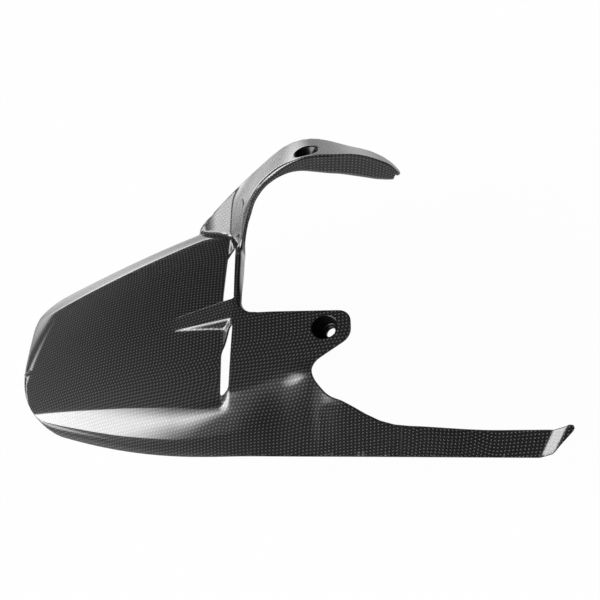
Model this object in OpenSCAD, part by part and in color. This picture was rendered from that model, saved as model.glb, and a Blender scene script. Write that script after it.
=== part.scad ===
// Rear hugger mudguard: one thin moulding of woven carbon laminate.
// X points forward, Y across the wheel away from the chain side, Z up.
// The origin is the middle of the ear's bolt hole, inside the laminate. The
// shape is worked out from the middle of the ear's recess, on the outer skin,
// and moved there at the end.
// The skin is a height over the ground plan: blade, bar and plate are gently
// curved, the skirts fall away beside them and the hook climbs at the far side.
// The sheet is then trimmed by its ground plan, rimmed round the window and
// given two bolt cups.

/* [Laminate] */
// Thickness of the laminate
wall = 2.2; // [1.8:0.1:2.8]
// Thickness of the laminate under a bolt head
cup_floor = 3; // [2.4:0.2:4]

/* [Blade over the tyre] */
// Distance from the ear bolt to the wheel's mid plane
mid_y = 40; // [36:1:44]
// Distance from the ear bolt back to the blade's rear end
rear_reach = 283; // [265:1:295]
// Radius of the blade along the wheel
run_r = 560; // [500:5:640]
// Radius of the crown across the wheel
cross_r = 400; // [340:5:500]
// Rearward dip of the blade where it meets the slots, in degrees
slot_dip = 15; // [12:0.5:18]
// Half width of the blade from mid plane to the chain side's lower edge
near_w = 119; // [114:1:124]
// Half width of the blade from mid plane to the far shoulder
far_w = 112; // [106:1:116]
// Narrowing of the blade's chain side, per millimetre, at its rear end
taper = 0.27; // [0.2:0.01:0.32]
// Narrowing of the blade's far side towards the rear
far_taper = 30; // [22:1:36]
// Drop of the far skirt below its shoulder
far_drop = 17; // [12:1:22]

/* [Chain side skirt] */
// Height of the skirt's lower edge below the ear bolt, at the slots
skirt_low = 75; // [70:1:80]
// Slope of the skirt beside the blade, in degrees
skirt_slope = 63; // [58:1:66]
// Slope of the skirt where it runs out as the arm, in degrees
arm_slope = 54; // [50:1:58]
// Roundness of the shoulder above the skirt
shoulder_soft = 24; // [16:1:30]

/* [Bar and slots] */
// Distance from the ear bolt back to the middle of the slots
slot_back = 82; // [78:1:86]
// Width of the slots
slot_w = 9; // [7:0.5:10]
// Height of the bar and plate above the blade
step_h = 10; // [7:0.5:12]
// Width of the bar's flat top
bar_w = 4; // [3.5:0.5:6]
// Depth of the bar's front flange
bar_flange = 12; // [8:1:15]

/* [Rib between the slots] */
// Length of the rib
rib_len = 56; // [45:1:65]
// Width of the rib at its rear end
rib_rear_w = 13; // [10:1:16]
// Width of the rib at the bar
rib_front_w = 21; // [17:1:24]

/* [Plate and ear] */
// Rise of the plate per millimetre forward
plate_rise = 0.277; // [0.24:0.005:0.3]
// Distance from the ear bolt to the ear's front end
ear_front = 20.5; // [19:0.5:24]
// Width of the ear
ear_w = 26; // [25:0.5:30]

/* [Arm] */
// Distance from the ear bolt forward to the arm's upper tip
arm_reach = 197; // [180:1:215]
// Width of the arm, seen from above
arm_w = 13.5; // [12:0.5:16]
// Height of the flare at the tip
flare_h = 8; // [5:0.5:10]

/* [Hook] */
// Height of the hook's top above the ear bolt
hook_h = 81; // [76:1:86]
// Distance from the ear bolt across to the hook's inner edge
hook_y = 113.4; // [111:0.5:116]
// Width of the hook at its bolt
hook_w = 40; // [38:0.5:43]
// Distance from the ear bolt forward to the beak's tip
beak_reach = 64; // [59:1:69]
// Depth of the crescent below the beak
beak_deep = 25; // [20:1:28]

/* [Bolt cups] */
// Width of a cup at its rim
cup_d = 21; // [19:0.5:22]
// Width of a cup at its floor
cup_floor_d = 15.5; // [14.5:0.5:16.5]
// Depth of a cup
cup_deep = 8.5; // [7:0.5:10]
// Width of a bolt hole
bolt_d = 9; // [8:0.5:10]
// Backward lean of the ear's bolt, in degrees
ear_lean = 33; // [28:1:36]
// Backward lean of the hook's bolt, in degrees
hook_lean = 21; // [16:1:26]
// Lean of the hook's bolt towards the far side, in degrees
bolt_lean = 25; // [20:1:29]

/* [Hidden] */
$fn = 64;

carbon = "#2b2c2e";

// Smooth steps and blends between heights

function clamp01(t) = max(0, min(1, t));
function ease(t) = t * t * (3 - 2 * t);
function fade(from, to, x) = ease(clamp01((x - from) / (to - from)));
function mix(a, b, t) = a + (b - a) * t;
function sq(t) = t * t;
// The lower of two heights with a rounded change-over of softness k
function soft_min(a, b, k) = min(a, b) - sq(max(k - abs(a - b), 0)) / (4 * k);
function soft_max(a, b, k) = -soft_min(-a, -b, k);

// A smooth curve through a short list of [position, value] pairs
function slope_at(t, i) =
    i == 0 ? (t[1][1] - t[0][1]) / (t[1][0] - t[0][0])
    : i == len(t) - 1 ? (t[i][1] - t[i - 1][1]) / (t[i][0] - t[i - 1][0])
    : ((t[i + 1][1] - t[i][1]) / (t[i + 1][0] - t[i][0])
        + (t[i][1] - t[i - 1][1]) / (t[i][0] - t[i - 1][0])) / 2;
function span_of(t, x, i = 0) = i >= len(t) - 2 || x < t[i + 1][0] ? i : span_of(t, x, i + 1);
function hermite(t, i, h, s) =
    (2 * s ^ 3 - 3 * s ^ 2 + 1) * t[i][1] + (s ^ 3 - 2 * s ^ 2 + s) * h * slope_at(t, i)
    + (3 * s ^ 2 - 2 * s ^ 3) * t[i + 1][1] + (s ^ 3 - s ^ 2) * h * slope_at(t, i + 1);
function curve(t, x) =
    let (i = span_of(t, x), h = t[i + 1][0] - t[i][0])
    hermite(t, i, h, clamp01((x - t[i][0]) / h));

// Blade, bar and plate

slot_x = -slot_back;
run_x = slot_x + run_r * sin(slot_dip);
slot_z = plate_rise * slot_x - step_h;
function arc_h(x) = sqrt(run_r ^ 2 - sq(x - run_x));
function cross_h(y) = (sq(mid_y) - sq(y - mid_y)) / (2 * cross_r);
function blade_h(x, y) = slot_z + arc_h(x) - arc_h(slot_x) + cross_h(y);
function plate_h(x, y) = plate_rise * x + cross_h(y);

// The step from blade to bar is steep at the slots and long beside them
step_run = 9;
shoulder_run = 45;
near_edge_y = mid_y - near_w;
step_side = near_edge_y + 36;
function step_part(x, y) =
    let (side = fade(step_side - 14, step_side, y))
    mix(fade(slot_x - shoulder_run, slot_x + shoulder_run, x),
        fade(slot_x - step_run / 2, slot_x + step_run / 2, x), side);
function deck_h(x, y) = mix(blade_h(x, y), plate_h(x, y), step_part(x, y));

// The rib is a wedge that rises from the blade to the bar's level
rib_y = mid_y - 6.5;
rib_front_x = slot_x + slot_w / 2;
rib_rear_x = rib_front_x - rib_len;
rib_side = 1.9;
function rib_top(x) =
    mix(blade_h(rib_rear_x, rib_y), plate_h(rib_front_x, rib_y), (x - rib_rear_x) / rib_len);
function rib_half(x) = mix(rib_rear_w, rib_front_w, (x - rib_rear_x) / rib_len) / 2;
function rib_h(x, y) =
    soft_min(rib_top(x) + cross_h(y) - cross_h(rib_y),
             rib_top(x) - rib_side * (abs(y - rib_y) - rib_half(x)), 1.5);
function ribbed_h(x, y) =
    x > rib_front_x ? deck_h(x, y) : soft_max(deck_h(x, y), rib_h(x, y), 2.5);

// The chain side skirt hangs from its lower edge line up to the shoulder
edge_out = 0.055;
edge_rise = 0.1;
edge_fall = 0.24;
near_edge_z = -skirt_low;
function edge_y(x) =
    let (back = slot_x - x)
    near_edge_y + (back > 0 ? (edge_out + taper * back / 200) * back : edge_out * back);
function edge_z(x) =
    near_edge_z + soft_min(edge_fall * (x - slot_x), edge_rise * (x - slot_x), 4);
function slope_angle(x) = mix(skirt_slope, arm_slope, fade(60, 140, x));
function skirt_h(x, y) = edge_z(x) + (y - edge_y(x)) * tan(slope_angle(x));

// The shoulder is soft beside the blade and crisper below the ear
function softness(x) =
    mix(shoulder_soft, 0.75 * shoulder_soft, fade(-70, -20, x));
function shouldered_h(x, y) =
    x > 60 ? skirt_h(x, y) : soft_min(ribbed_h(x, y), skirt_h(x, y), softness(x));

// The far side rounds over into its own skirt
far_slope = 2.6;
far_soft = 15;
far_straight = slot_x - 30;
function far_y(x) =
    mid_y + far_w - far_taper * sin(90 * clamp01((far_straight - x) / (rear_reach + far_straight)));
function far_skirt_h(x, y) = blade_h(x, far_y(x)) - far_slope * (y - far_y(x));

// The tip of the arm flares up beyond a slanting fold
flare_x = arm_reach - 19;
flare_lean = 0.55;
flare_run = 16;
function flare(x, y) =
    flare_h * sin(90 * clamp01((x - flare_x - flare_lean * (y - edge_y(x) - arm_w)) / flare_run));

// The hook: heights of its inner and outer edge along its length
hook_in = [
    [-100, -58], [-90, -42], [-82, -22], [-76.4, -4], [-70, 16], [-60, 38.5], [-50, 54],
    [-37, 67.5], [-27, hook_h - 6.8], [-18, hook_h - 2], [-8, hook_h + 0.2], [4, hook_h + 1],
    [beak_reach - 37, hook_h + 1], [beak_reach - 19, hook_h - 5.5], [beak_reach - 8, hook_h - 12.5],
    [beak_reach, hook_h - 23]
];
hook_out = [
    [-124, -72], [-116, -59.5], [-94, -27], [-74, 0.5], [-55, 24.6], [-37, hook_h - 34.8],
    [-27, hook_h - 26], [-12, hook_h - 19.3], [0, hook_h - 18], [21, hook_h - 15.9],
    [beak_reach - 26, hook_h - 14.3], [beak_reach - 15, hook_h - 14.2],
    [beak_reach - 7, hook_h - 16.6], [beak_reach - 2, hook_h - 21.3], [beak_reach + 1, hook_h - 25]
];
// Distance of the outer edge from the inner one
hook_wide = [
    [-124, hook_w + 5], [-116, hook_w + 5], [-94, hook_w + 5], [-74, hook_w + 5],
    [-55, hook_w + 4.5], [-37, hook_w + 3.5], [-27, hook_w + 2], [-12, hook_w], [0, hook_w - 2.5],
    [21, hook_w - 12], [beak_reach - 26, hook_w - 19.5], [beak_reach - 15, hook_w - 26.5],
    [beak_reach - 7, 8], [beak_reach - 2, 6], [beak_reach + 1, 4.5]
];
// Steepness of the sheet inside the inner edge and of the lip outside the outer one
fold_slope = 1.6;
lip_slope = 2.4;
lip_deep = 6;
hook_root = -118;
function hook_edge(x) = hook_y + curve(hook_wide, x);
function hook_h_at(x, y) =
    let (across = (y - hook_y) / (hook_edge(x) - hook_y), inner = curve(hook_in, x))
    y < hook_y ? inner - fold_slope * (hook_y - y)
    : mix(inner, curve(hook_out, x), min(across, 1)) - lip_slope * max(0, y - hook_edge(x));
function far_h(x, y) =
    let (blade = soft_min(ribbed_h(x, y), far_skirt_h(x, y), far_soft))
    x < hook_root ? blade : soft_max(blade, hook_h_at(x, y), 7);

// Height of the outer skin anywhere
function skin(x, y) =
    y < mid_y ? shouldered_h(x, y) + flare(x, y)
    : x > slot_x + 18 ? hook_h_at(x, y) : far_h(x, y);

// Ground lines of the grid: chain side edge, middle, hook and far edge
function far_edge(x) =
    let (blade_edge = far_y(x) + far_drop / far_slope)
    x < hook_root ? blade_edge
    : mix(blade_edge, hook_edge(x) + lip_deep / lip_slope, fade(hook_root, hook_root + 25, x));

function row(from, to, step) = [for (v = [from:step:to - step / 2]) v];
xs = concat(
    row(-rear_reach - 4, slot_x - 46, 12), row(slot_x - 46, slot_x - 10, 6),
    row(slot_x - 10, slot_x + 16, 2.6), row(slot_x + 16, beak_reach, 5.2),
    row(beak_reach, flare_x - 6, 12), row(flare_x - 6, arm_reach + 4, 3), [arm_reach + 4]);
near_cols = [0, 0.1, 0.2, 0.3, 0.38, 0.46, 0.54, 0.62, 0.7, 0.8, 0.9];
near_top = -8;
mid_cols = [near_top, 6, 17, 21, 23.5, 26, 32, 38, 42, 44.5, 48, 60, 74, 88, 98, 104, 109];
far_cols = [0, 0.12, 0.26, 0.4, 0.54, 0.68, 0.78, 0.86, 0.93, 1];
near_n = len(near_cols);
mid_n = len(mid_cols);
far_n = len(far_cols);
cols = near_n + mid_n + far_n;

function col_y(x, j) =
    j < near_n ? mix(edge_y(x), near_top, near_cols[j])
    : j < near_n + mid_n ? mid_cols[j - near_n]
    : mix(hook_y, far_edge(x), far_cols[j - near_n - mid_n]);

grid = [for (x = xs) [for (j = [0:cols - 1]) let (y = col_y(x, j)) [x, y, skin(x, y)]]];

probe = 0.05;
function side_skin(x, y, j) = j >= near_n + mid_n && x > slot_x + 14 ? hook_h_at(x, y) : skin(x, y);
function outward(x, y, j) =
    let (dx = (side_skin(x + probe, y, j) - side_skin(x - probe, y, j)) / (2 * probe),
         dy = (side_skin(x, y + probe, j) - side_skin(x, y - probe, j)) / (2 * probe),
         n = [-dx, -dy, 1])
    n / norm(n);

// Which cells of the grid hold laminate: the window and the space ahead stay open
function kept(i, j) =
    i < 0 || j < 0 || i >= len(xs) - 1 || j >= cols - 1 ? false
    : let (x = xs[i], x2 = xs[i + 1])
      x2 < slot_x + 16 ? true
      : j < near_n + 2 ? x2 < ear_front + 12 || j < 5
      : j >= near_n + mid_n ? x2 < beak_reach + 2
      : j < near_n + 6 && x2 < ear_front + 12;

outer_skin = [for (r = grid) for (p = r) p];
inner_skin = [for (i = [0:len(xs) - 1]) for (j = [0:cols - 1])
    let (p = grid[i][j]) p - wall * outward(p[0], p[1], j)];
skin_n = len(outer_skin);
function at(i, j) = i * cols + j;
function quad(a, b, c, d) = [[a, b, c], [a, c, d]];

cells = [for (i = [0:len(xs) - 2]) for (j = [0:cols - 2]) if (kept(i, j)) [i, j]];
sheet_faces = [
    for (c = cells)
        let (i = c[0], j = c[1], a = at(i, j), b = at(i + 1, j), d = at(i, j + 1), e = at(i + 1, j + 1))
        each concat(
            quad(a, d, e, b),
            quad(a + skin_n, b + skin_n, e + skin_n, d + skin_n),
            kept(i, j - 1) ? [] : quad(b, b + skin_n, a + skin_n, a),
            kept(i, j + 1) ? [] : quad(d, d + skin_n, e + skin_n, e),
            kept(i - 1, j) ? [] : quad(a, a + skin_n, d + skin_n, d),
            kept(i + 1, j) ? [] : quad(e, e + skin_n, b + skin_n, b))
];

module sheet() {
    polyhedron(points = concat(outer_skin, inner_skin), faces = sheet_faces);
}

// Ground plan: corners as [x, y, radius], rounded into arcs

function unit(v) = v / norm(v);
function heading(v) = atan2(v[1], v[0]);
function arc_at(a, b, c, r) =
    let (u = unit(a - b), v = unit(c - b), half = acos(u * v) / 2,
         middle = b + unit(u + v) * r / sin(half),
         from = heading(b + u * r / tan(half) - middle),
         turn = (heading(b + v * r / tan(half) - middle) - from + 900) % 360 - 180,
         steps = max(2, ceil(abs(turn) / 9)))
    r == 0 ? [b] : [for (k = [0:steps]) middle + r * [cos(from + turn * k / steps), sin(from + turn * k / steps)]];
function flat(p) = [p[0], p[1]];
function rounded(p) = [
    for (i = [0:len(p) - 1])
        each arc_at(flat(p[(i + len(p) - 1) % len(p)]), flat(p[i]), flat(p[(i + 1) % len(p)]), p[i][2])
];

beyond = 8;
bar_x = slot_x + slot_w / 2 + bar_w + 0.5;
plate_y = 27.5;
corner_r = 8.5;
trim = 0.15;
ear_top = ear_w / 2;
ear_low = ear_top - ear_w;
tip_run = 18;
arm_y = edge_y(arm_reach - tip_run) + arm_w;
arm_root_x = 49;
rear_x = -rear_reach;
plan = [
    [arm_reach - 2 * tip_run, edge_y(arm_reach) - arm_w, 0],
    [arm_reach, arm_y, 1.5],
    [arm_root_x, edge_y(arm_root_x) + arm_w, 120],
    [2, edge_y(0) + 28, 30],
    [-19, ear_low - 21, 12.5],
    [ear_front, ear_low + 1.5, 13],
    [ear_front, ear_top - 0.5, 11],
    [-52, 24.5, 40],
    [bar_x, plate_y, corner_r],
    [bar_x, hook_y + trim, 0],
    [beak_reach, hook_y + trim, 0],
    [beak_reach, hook_y + 60, 0],
    [hook_root, far_edge(hook_root) + 60, 0],
    [rear_x + 60, far_edge(rear_x + 60) + 2, 60],
    [rear_x, far_edge(rear_x) + 0.5, 50],
    [rear_x, edge_y(rear_x) - 1, 95],
    [rear_x + 110, edge_y(rear_x + 110) - beyond, 0],
    [slot_x, edge_y(slot_x) - 2 * beyond, 0]
];

module plan_prism(height = 400) {
    translate([0, 0, -height / 2]) linear_extrude(height) children();
}

// Two slots behind the bar, on either side of the rib
slot_front = slot_x + slot_w / 2;
far_slot = [
    [slot_front, rib_y + 10, 0.6], [slot_front - 1.5, hook_y - 6.5, 1], [slot_x - 2.5, hook_y - 8, 1],
    [slot_x - 4.2, hook_y - 13, 6], [slot_x - 6, rib_y + 18, 30], [slot_x - 4.5, rib_y + 10, 0.6]
];
near_slot = [
    [slot_front, rib_y - 16, 1.5], [slot_x + 0.5, rib_y - 17, 1.5], [slot_x - 5, rib_y - 38, 12],
    [slot_x - 4.5, near_edge_y + 37, 3.5], [slot_front - 1.5, near_edge_y + 37, 3.5]
];

module trimmed_sheet() {
    difference() {
        intersection() {
            sheet();
            plan_prism() polygon(rounded(plan));
        }
        plan_prism() polygon(rounded(far_slot));
        plan_prism() polygon(rounded(near_slot));
    }
}

// The return flange: a strip from the window's edge down to its own lower edge.
// Each row is the upper point and the lower one. The strip is tucked a little
// into the laminate so that no two faces share a plane.
tuck = 0.4;
corner_x = bar_x + corner_r;
corner_y = plate_y + corner_r;
corner_deep = 3;
hook_rim_steps = [
    [beak_reach, -3, 4.5], [beak_reach - 8, -1, beak_deep - 9], [beak_reach - 19, 0, beak_deep - 2.5],
    [beak_reach - 28, 0, beak_deep - 0.3], [beak_reach - 38, 0, beak_deep + 0.3], [12, 0, beak_deep - 2],
    [-4, 0, beak_deep - 4.5], [-16, 1, beak_deep - 8], [-27, 3, 12], [-37, 5.5, 8], [-46, 6, 5],
    [-55, 6, 3], [-62, 6, 2.5], [-68, 6, 2.5], [-72, 5.5, 6]
];
hook_rim = [
    for (s = hook_rim_steps)
        let (y = hook_y + tuck, top = [s[0], y, hook_h_at(s[0], y) - tuck]) [top, top + [s[1], 0, -s[2]]]
];
bar_lean = 3;
plate_rim_x = -44;
bar_rim = [
    for (y = [hook_y - 3:-12:corner_y + 2])
        let (x = bar_x - tuck, top = [x, y, plate_h(x, y) - tuck])
        [top, top + [bar_lean, 0, -mix(corner_deep, bar_flange, fade(corner_y, corner_y + 35, y))]]
];
corner_rim = [
    for (a = [0:15:90])
        let (r = corner_r + tuck, x = corner_x - r * cos(a), y = corner_y - r * sin(a),
             top = [x, y, plate_h(x, y) - tuck], lean = mix(bar_lean, 1, a / 90))
        [top, top + [lean * cos(a), lean * sin(a), -corner_deep]]
];
plate_rim = [
    for (x = [corner_x + 5:5:plate_rim_x])
        let (y = plate_y - tuck - 0.14 * (x - corner_x), top = [x, y, plate_h(x, y) - tuck])
        [top, top + [0, 1, -mix(corner_deep, wall, fade(corner_x, plate_rim_x, x))]]
];
rim = concat(hook_rim, bar_rim, corner_rim, plate_rim);

function rim_normal(i) =
    let (a = rim[max(0, i - 1)], b = rim[min(len(rim) - 1, i + 1)])
    unit(cross(rim[i][1] - rim[i][0], b[0] - a[0]));
rim_ring = [
    for (i = [0:len(rim) - 1])
        let (n = wall * rim_normal(i))
        [rim[i][0], rim[i][1], rim[i][1] + n, rim[i][0] + n]
];
module flange() {
    last = len(rim_ring) - 1;
    points = [for (r = rim_ring) each r];
    faces = concat(
        [[0, 2, 1], [0, 3, 2]],
        [for (i = [0:last - 1]) for (k = [0:3])
            each quad(4 * i + k, 4 * i + (k + 1) % 4, 4 * i + 4 + (k + 1) % 4, 4 * i + 4 + k)],
        [[4 * last, 4 * last + 1, 4 * last + 2], [4 * last, 4 * last + 2, 4 * last + 3]]);
    polyhedron(points, faces);
}

// A bolt cup: a tapered recess with a floor, its wall as thick as the laminate
module cup_body() {
    translate([0, 0, -cup_deep - cup_floor])
        cylinder(d1 = cup_floor_d + 2 * wall, d2 = cup_d + 2 * wall, h = cup_deep + cup_floor);
}
module cup_hollow() {
    translate([0, 0, -cup_deep])
        rotate_extrude()
            polygon([[0, 0], [cup_floor_d / 2, 0], [cup_d / 2, cup_deep], [cup_d / 2, cup_deep * 2], [0, cup_deep * 2]]);
}
module at_ear() { rotate([0, -ear_lean, 0]) children(); }
hook_bolt = [-15.5, hook_y + 0.33 * hook_w];
module at_hook() {
    translate([hook_bolt[0], hook_bolt[1], hook_h_at(hook_bolt[0], hook_bolt[1])])
        rotate([-bolt_lean, -hook_lean, 0]) children();
}
// Everything below the outer skin near a cup
module below_ear() {
    rotate([atan(mid_y / cross_r), -atan(plate_rise), 0])
        translate([-40, -40, -40 - wall / 2]) cube([80, 80, 40]);
}
module below_hook() {
    intersection() {
        at_hook() translate([-40, -40, -40 - wall / 2]) cube([80, 80, 40]);
        translate([hook_bolt[0] - 40, hook_y + 2 * tuck, 0]) cube([80, 80, hook_h + 20]);
    }
}

// The moulding before its bolt holes. Zeros keep each size as it is.
module moulding() {
    resize([0, 0, 0]) difference() {
        union() {
            trimmed_sheet();
            flange();
            intersection() { at_ear() cup_body(); below_ear(); }
            intersection() { at_hook() cup_body(); below_hook(); }
        }
        at_ear() cup_hollow();
        at_hook() cup_hollow();
    }
}

module bolt_hole() {
    translate([0, 0, -cup_deep - 2 * cup_floor]) cylinder(d = bolt_d, h = cup_deep);
}

// From the middle of the ear's recess to the middle of its bolt hole
hole_deep = cup_deep + cup_floor / 2;
ear_hole = hole_deep * [sin(ear_lean), 0, -cos(ear_lean)];

module hugger_shell() {
    translate(-ear_hole) difference() {
        moulding();
        at_ear() bolt_hole();
        at_hook() bolt_hole();
    }
}

color(carbon) hugger_shell();
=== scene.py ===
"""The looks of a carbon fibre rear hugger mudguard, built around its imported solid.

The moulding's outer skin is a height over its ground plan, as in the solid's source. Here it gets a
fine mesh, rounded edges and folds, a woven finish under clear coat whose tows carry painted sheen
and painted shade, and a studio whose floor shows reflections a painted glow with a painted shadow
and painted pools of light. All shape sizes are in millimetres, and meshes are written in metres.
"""
import math

import bpy
import numpy as np
from mathutils.geometry import delaunay_2d_cdt
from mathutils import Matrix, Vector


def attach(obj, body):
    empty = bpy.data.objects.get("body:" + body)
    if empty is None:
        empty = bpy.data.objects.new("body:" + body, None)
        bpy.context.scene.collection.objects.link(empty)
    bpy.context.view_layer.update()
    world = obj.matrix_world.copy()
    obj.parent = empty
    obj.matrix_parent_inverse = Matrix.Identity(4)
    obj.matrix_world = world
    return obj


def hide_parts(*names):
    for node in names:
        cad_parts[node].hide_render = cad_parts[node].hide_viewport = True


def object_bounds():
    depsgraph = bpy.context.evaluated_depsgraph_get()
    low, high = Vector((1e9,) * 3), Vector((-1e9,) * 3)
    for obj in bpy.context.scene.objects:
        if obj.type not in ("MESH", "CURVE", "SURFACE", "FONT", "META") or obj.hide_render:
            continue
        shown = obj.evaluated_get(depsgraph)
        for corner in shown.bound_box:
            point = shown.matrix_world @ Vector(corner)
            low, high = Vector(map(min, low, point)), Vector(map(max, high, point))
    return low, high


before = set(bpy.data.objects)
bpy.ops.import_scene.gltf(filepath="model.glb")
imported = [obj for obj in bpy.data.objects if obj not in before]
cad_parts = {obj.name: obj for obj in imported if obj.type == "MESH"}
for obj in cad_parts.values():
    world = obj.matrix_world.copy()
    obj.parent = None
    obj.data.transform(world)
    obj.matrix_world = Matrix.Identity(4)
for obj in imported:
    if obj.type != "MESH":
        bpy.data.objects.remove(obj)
SOLID_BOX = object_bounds()

bl_info = {
    "name": "Rear Hugger Mudguard",
    "version": (1, 0, 0),
    "blender": (4, 5, 0),
    "location": "View3D > Sidebar > Hugger",
    "description": "Makes a woven carbon mudguard shell and its studio around the packed solid",
    "category": "Object",
}

MM = 0.001

# The moulding's sizes, mostly as in the solid. The blister, the eases, the far facet, the fold's
# way out at the hook's root and the flare's ramp are finer forms that only the looks have.

MID_Y = 40.0
REAR_REACH = 283.0
RUN_R = 560.0
CROSS_R = 400.0
SLOT_DIP = 15.0
NEAR_W = 119.0
FAR_W = 112.0
TAPER = 0.27
FAR_TAPER = 30.0
FAR_DROP = 17.0
SKIRT_LOW = 75.0
SKIRT_SLOPE = 63.0
ARM_SLOPE = 54.0
BITE_EASE = 6.0
REAR_SOFT = 6.0
# A low blister beside the bite: middle x and y, spread along x and y, height
BLISTER = (-14.0, -40.5, 9.0, 6.0, 3.8)
SHOULDER_SOFT = 24.0
# Runs of x over which a size changes: to the arm's slope, into and out of the ease behind the bite,
# and to the softer shoulder at the rear and the tighter one at the front
ARM_BLEND = (60, 140)
EASE_IN = (-75, -32)
EASE_OUT = (14, -12)
SOFT_FRONT = (-70, -20)
SOFT_REAR = (-90, -180)
SHOULDER_TIGHT = 0.75
# The skirt's lower edge: its lean in plan, and its climb per mm behind the slots and ahead of them
EDGE_LEAN = 0.055
EDGE_CLIMB_REAR = 0.24
EDGE_CLIMB_FRONT = 0.1
EDGE_CLIMB_SOFT = 4
SLOT_X = -82.0
SLOT_W = 9.0
STEP_H = 10.0
BAR_W = 4.0
BAR_FLANGE = 12.0
RIB_LEN = 56.0
RIB_REAR_W = 13.0
RIB_FRONT_W = 21.0
RIB_FLANK = 1.9
RIB_SOFT = 1.2
RIB_FOOT_SOFT = 0.3
PLATE_RISE = 0.277
EAR_FRONT = 20.5
EAR_W = 26.0
ARM_REACH = 197.0
ARM_W = 13.5
FLARE_H = 8.0
FLARE_RUN = 10.5
FLARE_LEAN = 0.55
FLARE_TOP_SOFT = 0.6
FLARE_FOOT_SOFT = 0.4
HOOK_H = 81.0
HOOK_Y = 113.4
HOOK_W = 40.0
BEAK_REACH = 64.0
BEAK_DEEP = 25.0
CUP_D = 21.0
CUP_FLOOR_D = 15.5
CUP_DEEP = 8.5
CUP_FLOOR = 3.0
BOLT_D = 9.0
EAR_LEAN = 33.0
HOOK_LEAN = 21.0
BOLT_LEAN = 25.0
HOLE_DEEP = CUP_DEEP + CUP_FLOOR / 2
EAR_TURN = math.radians(EAR_LEAN)
EAR_HOLE = HOLE_DEEP * np.array([math.sin(EAR_TURN), 0, -math.cos(EAR_TURN)])


def sind(angle):
    return np.sin(np.radians(angle))


def clamp01(t):
    return np.clip(t, 0.0, 1.0)


def ease(t):
    return t * t * (3 - 2 * t)


def fade(start, end, x):
    return ease(clamp01((x - start) / (end - start)))


def mix(a, b, t):
    return a + (b - a) * t


def unit(v):
    """A vector, or each row of many, at length one."""
    return v / np.linalg.norm(v, axis=-1, keepdims=True)


def soft_min(a, b, k):
    """The lower of two heights with a rounded change-over of softness k."""
    return np.minimum(a, b) - np.maximum(k - np.abs(a - b), 0) ** 2 / (4 * k)


def soft_max(a, b, k):
    return -soft_min(-a, -b, k)


def curve(table, x):
    """A smooth curve through [position, value] pairs."""
    t = np.array(table, float)
    run = np.diff(t[:, 0])
    secant = np.diff(t[:, 1]) / run
    slope = np.concatenate([secant[:1], (secant[1:] + secant[:-1]) / 2, secant[-1:]])
    i = np.clip(np.searchsorted(t[:, 0], x, side="right") - 1, 0, len(run) - 1)
    s = clamp01((x - t[i, 0]) / run[i])
    return (
        (2 * s**3 - 3 * s**2 + 1) * t[i, 1]
        + (s**3 - 2 * s**2 + s) * run[i] * slope[i]
        + (3 * s**2 - 2 * s**3) * t[i + 1, 1]
        + (s**3 - s**2) * run[i] * slope[i + 1]
    )


# The height of the outer skin

RUN_X = SLOT_X + RUN_R * sind(SLOT_DIP)
SLOT_Z = PLATE_RISE * SLOT_X - STEP_H
NEAR_EDGE_Y = MID_Y - NEAR_W
STEP_SIDE = NEAR_EDGE_Y + 36
STEP_RUN = 9.0
SHOULDER_RUN = 45.0
RIB_Y = MID_Y - 6.5
RIB_FRONT_X = SLOT_X + SLOT_W / 2
RIB_REAR_X = RIB_FRONT_X - RIB_LEN
FAR_STRAIGHT = SLOT_X - 30
HOOK_ROOT = -118.0
ROOT_RUN = 25
HOOK_FRONT = SLOT_X + 18
FLARE_X = ARM_REACH - 19
ARM_STARTS = 60.0
# The strap, in [x, size] pairs: the height of its fold
HOOK_IN = [
    [-112, -76], [-100, -59.5], [-94, -51.5], [-88, -43.5], [-82, -33], [-76.4, -13], [-70, 13],
    [-60, 38.5], [-50, 54], [-37, 67.5],
    [-27, HOOK_H - 6.8], [-18, HOOK_H - 2], [-8, HOOK_H + 0.2], [4, HOOK_H + 1],
    [BEAK_REACH - 37, HOOK_H + 1], [BEAK_REACH - 19, HOOK_H - 5.5], [BEAK_REACH - 8, HOOK_H - 12.5],
    [BEAK_REACH, HOOK_H - 23],
]
# The height of its far edge
HOOK_OUT = [
    [-124, -72], [-116, -59.5], [-94, -27], [-74, 0.5], [-55, 24.6], [-37, HOOK_H - 34.8],
    [-27, HOOK_H - 26], [-12, HOOK_H - 19.3], [0, HOOK_H - 18], [21, HOOK_H - 15.9],
    [BEAK_REACH - 26, HOOK_H - 14.3], [BEAK_REACH - 15, HOOK_H - 14.2],
    [BEAK_REACH - 7, HOOK_H - 16.6], [BEAK_REACH - 2, HOOK_H - 21.3], [BEAK_REACH + 1, HOOK_H - 25],
]
# Its width in plan
HOOK_WIDE = [
    [-124, HOOK_W + 5], [-116, HOOK_W + 5], [-94, HOOK_W + 5], [-74, HOOK_W + 5],
    [-55, HOOK_W + 4.5], [-37, HOOK_W + 3.5], [-27, HOOK_W + 2], [-12, HOOK_W], [0, HOOK_W - 2.5],
    [21, HOOK_W - 12], [BEAK_REACH - 26, HOOK_W - 19.5], [BEAK_REACH - 15, HOOK_W - 26.5],
    [BEAK_REACH - 7, 8], [BEAK_REACH - 2, 6], [BEAK_REACH + 1, 4.5],
]
FOLD_SLOPE = 1.6
LIP_SLOPE = 2.4
LIP_DEEP = 6.0
ROOT_OUT = 18.0
FAR_SLOPE = 2.6
FACET_W = 21.0
FACET_SLOPE = 0.45
FACET_BEND = 0.0062
FACET_SOFT = 1.0
FAR_SOFT = 3
HOOK_SOFT = 2.5
# Run of x over which the fold moves outward at the hook's root
FOLD_OUT = (-64, -84)
# How far behind the hook and beside its fold the skin's normals are held to the strap
HELD_BACK = 4
HELD_SIDE = 6


def arc_h(x):
    return np.sqrt(RUN_R**2 - (x - RUN_X) ** 2)


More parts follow.
